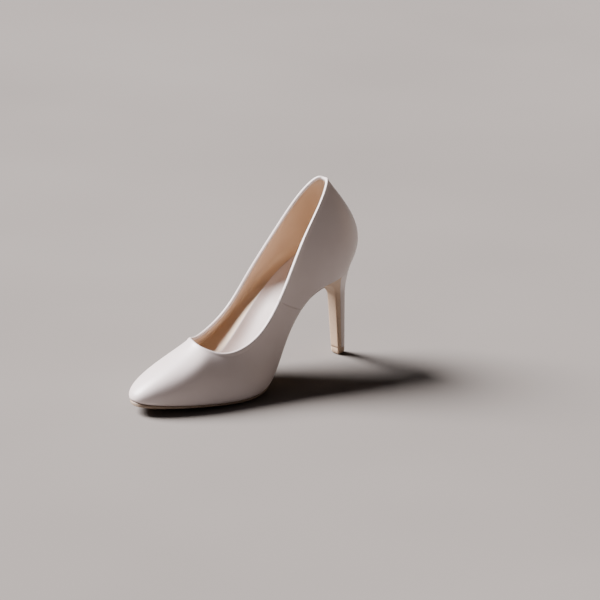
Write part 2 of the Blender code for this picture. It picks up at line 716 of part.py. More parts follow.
def make_heel_breast_cover(made):
    """The breast face and the front of both sides, in one piece around the two front corners."""
    turns = heel_turns()
    edge = COVER_EDGE - COVER_EDGE_GAP
    inner_side = np.concatenate([[edge], turns[(turns < edge) & (turns > 0)][::-1], [0]])
    across = np.linspace(1, -1, HEEL_ACROSS)[1:-1]
    grids = []
    for shrink in (0.0, HEEL_COVER):
        rows = [np.concatenate([heel_outline(inner_side, level, shrink),
                                breast_row(level, across, shrink),
                                heel_outline(1 - inner_side[::-1], level, shrink)])
                for level in range(heel_levels())]
        grids.append(np.stack(rows, 1))
    return slab("heel_breast_cover", *grids, made)


def make_top_piece(made):
    """The replaceable tip, with its tread edge rounded off."""
    turns = heel_turns()
    rings = []
    bevel_height, bevel = TOP_PIECE_BEVEL
    for z, shrink in ((0.0, bevel), (bevel_height, 0.0), (TOP_PIECE_HEIGHT, 0.0)):
        ring = stem_outline(STEM_LEVELS[0], turns, shrink)
        ring[:, 2] = z
        rings.append(ring)
    around = len(turns)
    faces = []
    for level in range(2):
        for k in range(around):
            here, there = level * around + k, level * around + (k + 1) % around
            faces.append((here, there, there + around, here + around))
    faces.append(tuple(range(around)))
    faces.append(tuple(range(2 * around, 3 * around)))
    return add_piece("top_piece", np.concatenate(rings), faces, made, smooth=False)


def stem_axis():
    """Foot and direction of the stem's centre line."""
    ends = []
    for z in (STEM_LEVELS[0], STEM_LEVELS[-1]):
        size = stem_size(z)
        ends.append(np.array([0.0, (size["front"] + size["back"]) / 2 - PIN_CLEARANCE, z]))
    direction = ends[1] - ends[0]
    return ends[0], direction / direction[2]


def make_heel_tube(made):
    foot, direction = stem_axis()
    angles = np.arange(ROUND_SIDES) * 2 * math.pi / ROUND_SIDES
    circle = np.stack([np.cos(angles), np.sin(angles), 0 * angles], 1)
    grids = []
    for radius in (TUBE_OUTER, TUBE_INNER):
        rings = [foot + direction * (z - foot[2]) + circle * radius for z in TUBE_ENDS]
        grids.append(np.stack(rings, 1))
    return slab("heel_tube", *grids, made, closed=True)


def along_stem(name, z_low, z_high, radius, made, grow=0.0):
    foot, direction = stem_axis()
    start = foot + direction * (z_low - foot[2])
    length = (z_high - z_low) * np.linalg.norm(direction)
    return revolve(name, ((0, radius), (length, radius)), start, direction, made, grow)


# ============================ fasteners =======================================================
RIVET = ((-0.4, 2.3), (0.0, 2.3), (0.001, 1.3), (2.8, 1.3), (2.801, 2.6), (3.3, 2.6))
SCREW = ((0.0, 3.4), (0.9, 3.4), (0.901, 1.8), (18.0, 1.8), (20.0, 0.6))
NAIL = ((0.0, 1.9), (0.6, 1.9), (0.601, 0.9), (10.0, 0.9), (11.0, 0.4))
RIVET_HEIGHT = 0.55
HEAD_SINK = 0.05               # screw and nail heads are sunk this far into the board
RIVET_PLACES = (3.25, 4.0)
SCREW_PLACE = (1.5, 0.0)
NAIL_PLACES = ((1.2, 0.0), (1.6, 0.32), (1.6, -0.32), (2.0, 0.33), (2.0, -0.33))


def fastener(name, profile, c, s, height, upwards, made, cut_pieces):
    """A turned fastener set square to the bottom, with clearance holes for it."""
    c, s = np.array([float(c)]), np.array([float(s)])
    start = LAST.bed(c, s, height + 0 * c, 0 * c)[0]
    axis = LAST.bed_normal(start[1:2])[0] * (1 if upwards else -1)
    piece = revolve(name, profile, start, axis, made)
    cutter = revolve(name + "_hole", profile, start, axis, made, GAP)
    for target in cut_pieces:
        cut(target, cutter)
    return piece


def build():
    for old in list(bpy.data.objects):
        bpy.data.objects.remove(old)
    root = bpy.data.objects.new("pump", None)
    bpy.context.collection.objects.link(root)

    upper_leather = material("upper_leather", (0.78, 0.69, 0.67), 0.42)
    lining_leather = material("lining_leather", (0.56, 0.38, 0.25), 0.6)
    sock_leather = material("sock_leather", (0.76, 0.68, 0.64), 0.55)
    sole_material = material("sole", (0.3, 0.22, 0.16), 0.5)
    board = material("fibre_board", (0.42, 0.33, 0.24), 0.85)
    foam = material("foam", (0.85, 0.82, 0.72), 0.9)
    stiff = material("stiffener", (0.8, 0.78, 0.74), 0.8)
    steel = material("steel", (0.6, 0.6, 0.62), 0.35, 1.0)
    plastic = material("heel_plastic", (0.86, 0.85, 0.82), 0.4)
    tip_plastic = material("tip_plastic", (0.55, 0.4, 0.28), 0.45)
    breast_leather = material("breast_leather", (0.62, 0.44, 0.3), 0.5)

    make_vamp(upper_leather)
    make_inside_quarter(upper_leather)
    make_vamp_lining(lining_leather)
    make_quarter_lining(lining_leather)
    make_toe_puff(stiff)
    make_heel_counter(stiff)
    make_topline_tape(stiff)
    make_insole_board(board)
    shank_board = make_shank_board(board)
    make_forefoot_pad(foam)
    make_heel_pad(foam)
    make_sock_lining(sock_leather)
    make_bottom_filler(foam)
    make_outsole(sole_material)
    steel_shank = make_steel_shank(steel)
    heel_core = make_heel_core(plastic)
    make_heel_cover(upper_leather)
    make_heel_breast_cover(breast_leather)
    top_piece = make_top_piece(tip_plastic)
    make_heel_tube(steel)
    cut(heel_core, along_stem("tube_hole", TUBE_HOLE_FOOT, TUBE_ENDS[1] + GAP, TUBE_OUTER, steel, GAP))
    along_stem("top_piece_pin", *PIN_ENDS, PIN_RADIUS, steel)
    cut(top_piece, along_stem("pin_hole", *PIN_ENDS, PIN_RADIUS, steel, PIN_CLEARANCE))
    for number, c in enumerate(RIVET_PLACES, 1):
        fastener(f"shank_rivet_{number}", RIVET, c, 0.0, RIVET_HEIGHT, True, steel,
                 (shank_board, steel_shank))
    fastener("heel_screw", SCREW, *SCREW_PLACE, BOARD_HEIGHT[1] - HEAD_SINK, False, steel,
             (shank_board, steel_shank, heel_core))
    for number, (c, s) in enumerate(NAIL_PLACES, 1):
        fastener(f"heel_nail_{number}", NAIL, c, s, BOARD_HEIGHT[1] - HEAD_SINK, False, steel,
                 (shank_board, heel_core))
    centre_on_ground(root)


def centre_on_ground(root):
    """Put the middle of the shoe's box over the origin, with the ground at z = 0."""
    corners = np.array([vertex.co for piece in bpy.data.objects
                        if piece.type == "MESH" and not piece.hide_render
                        for vertex in piece.data.vertices])
    low, high = corners.min(0), corners.max(0)
    root.location = (-(low[0] + high[0]) / 2, -(low[1] + high[1]) / 2, -low[2])


build()
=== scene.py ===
"""High heel pump: the visible pieces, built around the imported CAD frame.

Shapes are worked out in millimetres in the shoe's own frame (toe to -Y, inner side of the foot
+X, ground z = 0) and moved into the row frame, in metres, as each mesh is made.
"""
import math

import bmesh
import bpy
import numpy as np
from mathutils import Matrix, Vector


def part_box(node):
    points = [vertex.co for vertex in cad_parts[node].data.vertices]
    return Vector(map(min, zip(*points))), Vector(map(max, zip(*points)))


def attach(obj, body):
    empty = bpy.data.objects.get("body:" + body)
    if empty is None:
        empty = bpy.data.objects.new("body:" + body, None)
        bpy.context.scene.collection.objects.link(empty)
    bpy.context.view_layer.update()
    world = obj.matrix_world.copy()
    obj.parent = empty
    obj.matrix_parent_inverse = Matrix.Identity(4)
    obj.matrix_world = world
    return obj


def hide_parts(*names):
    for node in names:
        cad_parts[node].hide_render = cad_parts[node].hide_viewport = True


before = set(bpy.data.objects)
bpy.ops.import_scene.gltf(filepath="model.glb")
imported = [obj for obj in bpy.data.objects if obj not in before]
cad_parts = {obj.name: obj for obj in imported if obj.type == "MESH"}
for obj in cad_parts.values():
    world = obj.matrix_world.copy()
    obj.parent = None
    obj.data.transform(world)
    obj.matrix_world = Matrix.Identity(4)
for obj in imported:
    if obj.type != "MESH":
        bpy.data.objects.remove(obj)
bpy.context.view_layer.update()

MM = 0.001

# --- the last: feather edge, topline, swell above the feather edge, swell below the topline ----
STATIONS = (
    ("back", (0, -1.5, 80), (0, -28, 146.5), (13.5, 24), (12, 17)),
    ("back_inner", (13.5, -11.5, 79.5), (6, -30.5, 146.3), (13.5, 22), (11.5, 17)),
    ("seat_inner", (25.5, -33, 73), (14, -45, 133), (9.5, 20), (8.5, 14)),
    ("breast_inner", (25.5, -58, 66.5), (21, -68.5, 109.5), (6.5, 12.5), (3, 11.5)),
    ("waist_inner", (23.5, -83, 42.5), (28, -93.5, 78.5), (4, 9), (0.5, 10)),
    ("joint_inner", (29, -103, 16), (30.5, -117, 52.5), (2, 8), (1, 9.5)),
    ("ball_inner", (38.5, -131.5, 4), (28.5, -144, 40), (2, 11), (4, 9.5)),
    ("toe_inner", (29.5, -177, 5), (20, -160, 41.5), (1.5, 12), (9, 6)),
    ("tip_inner", (12.5, -211, 8.5), (9, -165, 45), (4, 12.5), (15, 9)),
    ("tip", (2.5, -219.5, 10), (0.5, -163, 45.5), (5, 12.5), (15, 11)),
    ("tip_outer", (-8.5, -217, 9.5), (-8.5, -157.5, 43.5), (6.5, 12), (11.5, 12)),
    ("toe_outer", (-26.5, -189, 7), (-23.5, -144, 37.5), (6.5, 12), (8, 11)),
    ("ball_outer", (-43, -145, 6.5), (-33, -124, 35.5), (6.5, 11.5), (4.5, 12)),
    ("joint_outer", (-40.5, -112.5, 17.5), (-34, -99, 49.5), (7.5, 9.5), (3.5, 11)),
    ("waist_outer", (-34.5, -80, 39.5), (-30, -79, 76.5), (9, 10), (2.5, 10)),
    ("breast_outer", (-31, -52, 61.5), (-21, -60, 108), (9.5, 13), (3, 13)),
    ("seat_outer", (-27, -28, 73), (-13, -43.5, 133), (9, 19), (6.5, 14.5)),
    ("back_outer", (-15, -8.5, 79), (-5.5, -30.5, 146.3), (13, 22), (10.5, 18)),
)
AROUND = len(STATIONS)
SIDE_STATIONS = AROUND // 2
CROWN = (0, 1.5, 2.5, 2, 1.5, 1.5, 1.9, 2.4, 1.2, 0)

# --- layers, as depths in the wall and heights above the seat plane ----------------------------
GAP = 0.3
LEATHER = 1.0
FOLD = 2.4
LINING_DEPTH = (2.4, 3.15)
PAD_HEIGHT = (4.5, 5.5)
HEEL_PAD_RISE = 1.6
SOCK_THICKNESS = 1.3
SOLE_HEIGHT = (-2.8, -0.04)
SOLE_EDGE_RELIEF = 0.9
HEEL_TOP = -0.04
SEAT_INSET = 0.2
BOARD_INSET = 4.2
SOLE_INSET = 0.4
WAIST_INSET = 3.0

SEAM_TOP, SEAM_FOOT = 4.33, 3.6
LINING_SEAMS = (6.5, 11.5)
BREAST_LINE = 8 / 3
BOARD_JOINT = 14 / 3

# --- the heel --------------------------------------------------------------------------------
STEM_FOOT, STEM_HEAD = 5.3, 48.0
STEM_TIP = {"half_width": 4.4, "front": -17.0, "back": -7.5}
STEM_TOP = {"half_width": 5.2, "front": -20.2, "back": -7.6}
HEEL_COVER = 0.6
TOP_PIECE_HEIGHT = 5.27
# Where the back cover meets the breast cover, as a share of the way around.
COVER_EDGE = 0.125
COVER_GAP = 0.001              # between the two covers, as a share of the way around
COVER_GIRTH = 36.0             # length of the back cover's section
CORNER_RADIUS = 1.3
CORE_INSET = 0.75              # the moulded core lies just inside its covers
STEM_ROUNDING = 0.7            # below 1 the stem's section is squarer than an ellipse
STEM_MIDDLE = -16.0            # the flare draws in towards this line
FLARE_DROP = 11.0              # the flare leaves the stem straight over this height
FLARE_SEAT = (2, 8)            # first step in and down from the seat, at the back
FLARE_BREAST = (8, -5)         # what is added to that step at the breast
CORNER_SHARE = 0.22            # the breast's pull fades over this share of the way around
# Level 0..1 is the flare from the seat down, 1..2 the stem.
HEEL_LEVELS = np.concatenate([np.linspace(0, 1, 30), np.linspace(1, 2, 24)[1:]])
# Rings of the heel tip: height and how far the section shrinks.
TIP_RINGS = ((0, 1.9), (0.12, 1.35), (0.45, 0.8), (1.0, 0.4), (1.8, 0.13), (2.8, 0.0),
             (TOP_PIECE_HEIGHT - 0.1, 0.0), (TOP_PIECE_HEIGHT, 0.03))

# --- the upper -------------------------------------------------------------------------------
UPPER_COLUMNS = 46
WALL_START = 1.1               # height at which the wall's own columns begin
# The turned-in margin: inset and height of its outer face, then of its inner face.
MARGIN = ((5.0, 0.0, 5.0, 1.0), (1.6, 0.0, 2.4, 1.0), (0.8, 0.1, 1.9, 1.1), (0.28, 0.45, 1.5, 1.3))
HEEL_SHARPNESS = 0.75          # the margin's corner is this much sharper over the heel
RIM_STEPS = 7
RIM_START = 0.9                # the rolled rim begins this far below the topline
RIM_RISE = 1.25
RIM_BULGE = 0.34
RIM_BAND = 3.0                 # the fold reaches this far down
RIM_FADE = 1.4                 # and its bulge fades over this height
RIM_DIP = 0.3                  # share of the seam's dip that is left on the rim
SEAM_GAP = 0.1
VAMP_LENGTH, QUARTER_LENGTH = 360.0, 120.0     # along the middle of the wall
COLUMN_SPACING = 1.6

# --- lining and sock -----------------------------------------------------------------------------
LINING_TOP = 1.8               # the lining ends this far below the topline, behind the rolled rim
LINING_TAPER = (0.5, 3.0)      # its top edge is skived by this much, over this height
LINING_THICKNESS = 0.75
LINING_STATION = 25.0          # length of one step of the ring coordinate along the lining
COVE_TOP = 20.0                # height at which the lining starts to turn in to the sock
COVE_STEPS, WALL_STEPS = 14, 34
# How far the sock rises along its sides, from the back seam to the toe tip.
SOCK_CUP = (6, 6, 6, 6, 5.5, 5, 4, 3, 2, 2)
SOCK_FLAT = 6.3                # height of the sock's edge above the seat plane without that rise
# How far inside the feather edge the sock ends, at each station around the shoe.
SOCK_MARGIN = (4.6, 4.8, 5, 5.2, 5.5, 6, 6.5, 7.5, 9, 12, 18, 26, 29, 24, 15, 10, 6.5, 5)
# Pressed lines across the sock: cross line, slant, depth (negative is raised) and width.
CREASES = ((6.35, 0.25, 0.8, 0.07), (6.18, 0.25, -0.6, 0.1))

# The pad under the heel swells over the first cross lines of the seat and fades out again.
PAD_SWELL, PAD_FADE, PAD_FADE_END = 1.2, 2.4, 3.6

# --- grids -------------------------------------------------------------------------------------
FINE = 18                      # grid steps between two stations
EDGE_STEPS = (0.12, 0.3, 0.55, 0.9, 1.4)       # rows of points close to an edge, in millimetres


# ============================ smooth surfaces =================================================
def closed_spline(knots, values, places):
    """A periodic cubic spline through the values, read at the given places."""
    count = len(values)
    steps = np.diff(knots)
    matrix = np.zeros((count, count))
    right = np.zeros((count, values.shape[1]))
    for i in range(count):
        before, after = steps[i - 1], steps[i]
        matrix[i, i - 1] += before
        matrix[i, i] += 2 * (before + after)
        matrix[i, (i + 1) % count] += after
        slope_after = (values[(i + 1) % count] - values[i]) / after
        slope_before = (values[i] - values[i - 1]) / before
        right[i] = 6 * (slope_after - slope_before)
    bend = np.linalg.solve(matrix, right)
    places = np.mod(places, knots[-1])
    k = np.clip(np.searchsorted(knots, places, side="right") - 1, 0, count - 1)
    nxt = (k + 1) % count
    left = (knots[k + 1] - places)[..., None]
    ahead = (places - knots[k])[..., None]
    span = steps[k][..., None]
    curved = (bend[k] * left ** 3 + bend[nxt] * ahead ** 3) / (6 * span)
    straight_left = (values[k] / span - bend[k] * span / 6) * left
    straight_right = (values[nxt] / span - bend[nxt] * span / 6) * ahead
    return curved + straight_left + straight_right


class Last:
    """The shape that the shoe is built on: wall and seat plane, in millimetres."""

    def __init__(self):
        feather = np.array([s[1] for s in STATIONS], float)
        topline = np.array([s[2] for s in STATIONS], float)
        low = np.array([s[3] for s in STATIONS], float)
        high = np.array([s[4] for s in STATIONS], float)
        feather_step = np.linalg.norm(np.roll(feather, -1, 0)[:, :2] - feather[:, :2], axis=1)
        topline_step = np.linalg.norm(np.roll(topline, -1, 0)[:, :2] - topline[:, :2], axis=1)
        steps = feather_step ** 0.8 + 0.35 * topline_step ** 0.8
        self.knots = np.concatenate([[0], np.cumsum(steps)])
        self.feather = feather
        small = 0.01
        tangent = (closed_spline(self.knots, feather, self.knots[:-1] + small)
                   - closed_spline(self.knots, feather, self.knots[:-1] - small))
        outward = np.stack([-tangent[:, 1], tangent[:, 0], np.zeros(len(feather))], 1)
        self.outward = outward / np.linalg.norm(outward, axis=1)[:, None]
        up = np.array([0.0, 0.0, 1.0])
        lower = feather + self.outward * low[:, :1] + up * low[:, 1:]
        upper = topline + self.outward * high[:, :1] - up * high[:, 1:]
        self.controls = (feather, lower, upper, topline)
        self.sides = self.side_tables()

    def place(self, c):
        """The spline's own coordinate for a ring coordinate."""
        return np.interp(np.mod(c, AROUND), np.arange(AROUND + 1), self.knots)

    def surface(self, c, v):
        """The outer face of the wall; v may run a little past 1."""
        c, v = np.broadcast_arrays(np.asarray(c, float), np.asarray(v, float))
        place = self.place(c)
        weights = ((1 - v) ** 3, 3 * (1 - v) ** 2 * v, 3 * (1 - v) * v ** 2, v ** 3)
        return sum(w[..., None] * closed_spline(self.knots, ring, place)
                   for w, ring in zip(weights, self.controls))

    def wall(self, c, v, depth=0.0, rise=0.0):
        """A point of the wall, this deep inside it and this far along it above v."""
        small = 0.002
        along = self.surface(c + small, v) - self.surface(c - small, v)
        upwards = self.surface(c, v + small) - self.surface(c, v - small)
        upwards = upwards / np.linalg.norm(upwards, axis=-1)[..., None]
        outward = np.cross(upwards, along)
        outward = outward / np.linalg.norm(outward, axis=-1)[..., None]
        depth, rise = np.asarray(depth, float)[..., None], np.asarray(rise, float)[..., None]
        return self.surface(c, v) - outward * depth + upwards * rise

    def v_at_height(self, c, height):
        """The wall coordinate this far up from the feather edge."""
        small = 0.01
        speed = np.linalg.norm(self.surface(c, 0 * c + small) - self.surface(c, 0 * c), axis=-1)
        return height * small / speed

    def v_below_top(self, c, distance):
        """The wall coordinate this far down from the topline."""
        small = 0.01
        speed = np.linalg.norm(self.surface(c, 0 * c + 1) - self.surface(c, 0 * c + 1 - small), axis=-1)
        return 1 - distance * small / speed

    def outward_at(self, c):
        """The level direction square to the feather edge, away from the shoe."""
        outward = closed_spline(self.knots, self.outward, self.place(c))
        return outward / np.linalg.norm(outward, axis=-1)[..., None]

    def edge(self, c, inset):
        """The feather edge, moved inwards in plan."""
        ring = closed_spline(self.knots, self.feather, self.place(c))
        return ring - self.outward_at(c) * np.asarray(inset, float)[..., None]

    def side_tables(self):
        """Dense rows of (y, x, z, c) along each side of the feather edge, with rising y."""
        c = np.linspace(0, SIDE_STATIONS, 40 * SIDE_STATIONS + 1)
        tables = []
        for ring in (c, AROUND - c):
            points = self.edge(ring, 0 * c)
            y = np.minimum.accumulate(points[:, 1])
            tables.append(np.stack([y, points[:, 0], points[:, 2], c])[:, ::-1])
        return tables

    def bed_height(self, x, y):
        """The height of the seat plane over a point of the ground."""
        inner, outer = self.sides
        x_in, x_out = np.interp(y, inner[0], inner[1]), np.interp(y, outer[0], outer[1])
        z_in, z_out = np.interp(y, inner[0], inner[2]), np.interp(y, outer[0], outer[2])
        crown = np.interp(np.interp(y, inner[0], inner[3]), np.arange(SIDE_STATIONS + 1), CROWN)
        half = np.maximum((x_in - x_out) / 2, 1e-3)
        k = np.clip((x - (x_in + x_out) / 2) / half, -1, 1)
        return (z_in + z_out) / 2 + k * (z_in - z_out) / 2 - crown * (1 - k ** 2)

    def on_bed(self, point, height):
        """Drop a plan point on to the seat plane, then lift it square to the plane."""
        x, y = point[..., 0], point[..., 1]
        point[..., 2] = self.bed_height(x, y)
        return point + self.bed_normal(y) * np.asarray(height, float)[..., None]

    def bed(self, c, s, height=0.0, inset=0.0):
        """A point of cross line c, from the outer side (s = -1) to the inner side (s = 1).

        inset is a number, or a function of the ring coordinate.
        """
        c, s = np.broadcast_arrays(np.asarray(c, float), np.asarray(s, float))
        ring = (c, AROUND - c)
        inner, outer = (self.edge(r, inset(r) if callable(inset) else inset + 0 * r) for r in ring)
        return self.on_bed((inner + outer) / 2 + s[..., None] * (inner - outer) / 2, height)

    def bed_normal(self, y):
        """The upward normal of the seat plane, in side view."""
        reach = 2.0
        middle = [self.bed_height(self.middle_x(y + step), y + step) for step in (-reach, reach)]
        slope = (middle[1] - middle[0]) / (2 * reach)
        normal = np.stack([np.zeros_like(slope), -slope, np.ones_like(slope)], -1)
        return normal / np.linalg.norm(normal, axis=-1)[..., None]

    def middle_x(self, y):
        inner, outer = self.sides
        return (np.interp(y, inner[0], inner[1]) + np.interp(y, outer[0], outer[1])) / 2


LAST = Last()


def row_shift():
    """From the shoe's own frame to the row frame: the heel tip's box is known in both."""
    low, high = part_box("top_piece")
    x = (low.x + high.x) / 2
    y = high.y - STEM_TIP["back"] * MM
    return np.array([x, y, low.z])


SHIFT = row_shift()


def smooth_step(x):
    x = np.clip(x, 0, 1)
    return x * x * (3 - 2 * x)


def side_place(ring):
    """Ring coordinate folded to one side: 0 at the back seam, 9 at the toe tip."""
    place = np.mod(ring, AROUND)
    return np.minimum(place, AROUND - place)


# ============================ materials =======================================================
class Shader:
    """A Principled material with short ways to add texture nodes to it."""

    def __init__(self, name, roughness, metallic=0.0):
        self.material = bpy.data.materials.new(name)
        self.material.use_nodes = True
        self.tree = self.material.node_tree
        self.main = self.tree.nodes["Principled BSDF"]
        self.main.inputs["Roughness"].default_value = roughness
        self.main.inputs["Metallic"].default_value = metallic
        self.where = self.tree.nodes.new("ShaderNodeTexCoord").outputs["Object"]
        self.normal = None

    def noise(self, scale, detail=3.0, stretch=(1, 1, 1), roughness=0.5):
        moved = self.tree.nodes.new("ShaderNodeMapping")
        moved.inputs["Scale"].default_value = stretch
        self.tree.links.new(self.where, moved.inputs["Vector"])
        made = self.tree.nodes.new("ShaderNodeTexNoise")
        made.inputs["Scale"].default_value = scale
        made.inputs["Detail"].default_value = detail
        made.inputs["Roughness"].default_value = roughness
        self.tree.links.new(moved.outputs["Vector"], made.inputs["Vector"])
        return made.outputs["Fac"]

    def cells(self, scale, smoothness=0.3):
        made = self.tree.nodes.new("ShaderNodeTexVoronoi")
        made.feature = "SMOOTH_F1"
        made.inputs["Scale"].default_value = scale
        made.inputs["Smoothness"].default_value = smoothness
        self.tree.links.new(self.where, made.inputs["Vector"])
        return made.outputs["Distance"]

    def ramp(self, source, stops):
        """A colour ramp; stops are (place, colour)."""
        made = self.tree.nodes.new("ShaderNodeValToRGB")
        made.color_ramp.elements[0].position, first = stops[0]
        made.color_ramp.elements[0].color = (*first, 1)
        made.color_ramp.elements[1].position, last = stops[-1]
        made.color_ramp.elements[1].color = (*last, 1)
        for place, colour in stops[1:-1]:
            made.color_ramp.elements.new(place).color = (*colour, 1)
        self.tree.links.new(source, made.inputs["Fac"])
        return made.outputs["Color"]

    def range(self, source, low, high):
        made = self.tree.nodes.new("ShaderNodeMapRange")
        made.inputs["To Min"].default_value = low
        made.inputs["To Max"].default_value = high
        self.tree.links.new(source, made.inputs["Value"])
        return made.outputs["Result"]

    def mix(self, share, first, second):
        made = self.tree.nodes.new("ShaderNodeMix")
        made.data_type = "RGBA"
        colours = [socket for socket in made.inputs if socket.type == "RGBA"]
        for socket, value in zip((made.inputs["Factor"], *colours), (share, first, second)):
            if isinstance(value, bpy.types.NodeSocket):
                self.tree.links.new(value, socket)
            else:
                socket.default_value = value if isinstance(value, float) else (*value, 1)
        return made.outputs[2]

    def colour(self, source):
        self.tree.links.new(source, self.main.inputs["Base Color"])

    def roughness(self, source):
        self.tree.links.new(source, self.main.inputs["Roughness"])

    def bump(self, source, strength, distance):
        made = self.tree.nodes.new("ShaderNodeBump")
        made.inputs["Strength"].default_value = strength
        made.inputs["Distance"].default_value = distance
        self.tree.links.new(source, made.inputs["Height"])
        if self.normal:
            self.tree.links.new(self.normal, made.inputs["Normal"])
        self.normal = made.outputs["Normal"]
        self.tree.links.new(self.normal, self.main.inputs["Normal"])


def leather_shader(name, light, dark, roughness, grain=1500.0, grain_depth=0.00006):
    """Fine-grained leather: soft mottling, pores, and a broad unevenness of the hide."""
    made = Shader(name, roughness)
    made.colour(made.ramp(made.noise(38, 4.0), ((0.3, dark), (0.7, light))))
    made.roughness(made.range(made.noise(140, 5.0), roughness - 0.06, roughness + 0.08))
    made.bump(made.noise(90, 2.0), 0.12, 0.0003)
    made.bump(made.cells(grain), 0.35, grain_depth)
    made.bump(made.noise(grain * 2, 2.0), 0.2, grain_depth / 2)
    return made


def upper_leather():
    made = leather_shader("upper_leather_fine", (0.745, 0.655, 0.635), (0.705, 0.61, 0.585), 0.4)
    made.main.inputs["Coat Weight"].default_value = 0.12
    made.main.inputs["Coat Roughness"].default_value = 0.32
    made.main.inputs["Sheen Weight"].default_value = 0.04
    return made.material


def lining_leather():
    made = leather_shader("lining_leather_fine", (0.61, 0.46, 0.33), (0.54, 0.395, 0.275), 0.58, 2100.0)
    made.main.inputs["Sheen Weight"].default_value = 0.1
    return made.material


def sock_leather():
    # The sock is the same pale leather as the upper; its colours are set darker than the upper's as
    # painted shade, standing in for the shade it lies in inside the shoe.
    made = leather_shader("sock_leather_painted_shade", (0.46, 0.38, 0.355), (0.41, 0.33, 0.305), 0.5, 1800.0)
    made.main.inputs["Sheen Weight"].default_value = 0.08
    return made.material


def breast_leather():
    """Tan leather with the fine dark specks of its open grain."""
    made = leather_shader("breast_leather_fine", (0.70, 0.50, 0.345), (0.62, 0.43, 0.295), 0.5, 1300.0)
    specks = made.range(made.noise(1300, 2.0), -2.2, 1.6)
    base = made.main.inputs["Base Color"].links[0].from_socket
    made.colour(made.mix(specks, base, (0.34, 0.22, 0.14)))
    return made.material


def sole_resin():
    """Thin resin sole: tan resin coloured dark brown as painted shade, satin, with light walking scuffs
    along its length.
    """
    made = Shader("sole_resin_painted_shade", 0.45)
    # Both ramp colours are darker than the sole's own tan: painted shade of the edge that faces down.
    made.colour(made.ramp(made.noise(60, 5.0), ((0.3, (0.25, 0.18, 0.13)), (0.7, (0.32, 0.235, 0.17)))))
    made.roughness(made.range(made.noise(90, 5.0, (3, 0.35, 1)), 0.34, 0.6))
    made.bump(made.noise(900, 3.0), 0.2, 0.00004)
    made.bump(made.noise(160, 2.0, (4, 0.3, 1)), 0.15, 0.00008)
    return made.material


def tip_resin():
    """Hard heel tip, lightly scuffed."""
    made = Shader("tip_resin_fine", 0.42)
    made.colour(made.ramp(made.noise(220, 4.0), ((0.3, (0.58, 0.41, 0.28)), (0.7, (0.65, 0.465, 0.32)))))
    made.roughness(made.range(made.noise(500, 4.0), 0.3, 0.55))
    made.bump(made.noise(1600, 3.0), 0.25, 0.00003)
    return made.material


def steel():
    """Drawn steel with fine lines along its length."""
    made = Shader("steel_fine", 0.35, 1.0)
    made.colour(made.ramp(made.noise(300, 3.0), ((0.3, (0.52, 0.52, 0.54)), (0.7, (0.66, 0.66, 0.68)))))
    made.roughness(made.range(made.noise(700, 4.0, (1, 0.1, 1)), 0.25, 0.45))
    made.bump(made.noise(1500, 2.0, (1, 0.1, 1)), 0.2, 0.00002)
    return made.material


def fibre_board():
    """Pressed leather fibre, with flecks."""
    made = Shader("fibre_board_fine", 0.85)
    flecks = made.noise(900, 5.0, (1, 0.5, 1))
    made.colour(made.ramp(flecks, ((0.3, (0.30, 0.22, 0.15)), (0.7, (0.50, 0.39, 0.29)))))
    made.roughness(made.range(flecks, 0.78, 0.92))
    made.bump(flecks, 0.4, 0.00008)
    return made.material


def foam():
    """Open-cell foam."""
    made = Shader("foam_fine", 0.9)
    pores = made.cells(900, 0.1)
    made.colour(made.ramp(pores, ((0.1, (0.68, 0.63, 0.50)), (0.6, (0.88, 0.85, 0.75)))))
    made.roughness(made.range(pores, 0.85, 0.95))
    made.bump(pores, 0.6, 0.0003)
    return made.material


def stiffener_cloth():
    """Cotton cloth soaked in resin."""
    made = Shader("stiffener_cloth_fine", 0.8)
    weave = made.noise(1800, 2.0)
    made.colour(made.ramp(weave, ((0.3, (0.70, 0.67, 0.61)), (0.7, (0.84, 0.82, 0.77)))))
    made.roughness(made.range(weave, 0.7, 0.88))
    made.bump(weave, 0.4, 0.0001)
    return made.material


def heel_plastic():
    """Moulded heel block."""
    made = Shader("heel_plastic_fine", 0.4)
    made.colour(made.ramp(made.noise(120, 3.0), ((0.3, (0.80, 0.79, 0.76)), (0.7, (0.88, 0.87, 0.85)))))
    made.roughness(made.range(made.noise(400, 3.0), 0.34, 0.48))
    made.bump(made.noise(1200, 2.0), 0.15, 0.00003)
    return made.material


# ============================ mesh helpers ====================================================
def add_piece(name, points, faces, made, replaced=()):
    """One riding piece from points in millimetres, with outward faces and smooth shading."""
    mesh = bpy.data.meshes.new(name)
    placed = np.asarray(points) * MM + SHIFT
    mesh.from_pydata([tuple(p) for p in placed], [], faces)
    work = bmesh.new()
    work.from_mesh(mesh)
    bmesh.ops.remove_doubles(work, verts=work.verts, dist=0.000004)
    bmesh.ops.dissolve_degenerate(work, edges=work.edges, dist=0.000004)
    bmesh.ops.recalc_face_normals(work, faces=work.faces)
    for face in work.faces:
        face.smooth = True
    work.to_mesh(mesh)
    work.free()
    mesh.materials.append(made)
    piece = bpy.data.objects.new(name, mesh)
    bpy.context.collection.objects.link(piece)
    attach(piece, "root")
    if replaced:
        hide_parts(*replaced)
    return piece


def slab(name, outside, inside, made, slot, replaced=()):
    """A sheet with thickness from two matching grids."""
    rows, columns = outside.shape[:2]
    points = np.concatenate([outside.reshape(-1, 3), inside.reshape(-1, 3)])
    half = rows * columns

    def at(row, column, side):
        return side * half + row * columns + column

    faces = []
    for row in range(rows - 1):
        for column in range(columns - 1):
            for side in (0, 1):
                faces.append((at(row, column, side), at(row + 1, column, side),
                              at(row + 1, column + 1, side), at(row, column + 1, side)))
        for column in (0, columns - 1):
            faces.append((at(row, column, 0), at(row + 1, column, 0),
                          at(row + 1, column, 1), at(row, column, 1)))
    for row in (0, rows - 1):
        for column in range(columns - 1):
            faces.append((at(row, column, 0), at(row, column + 1, 0),
                          at(row, column + 1, 1), at(row, column, 1)))
    return add_piece(name, points, faces, made, replaced)


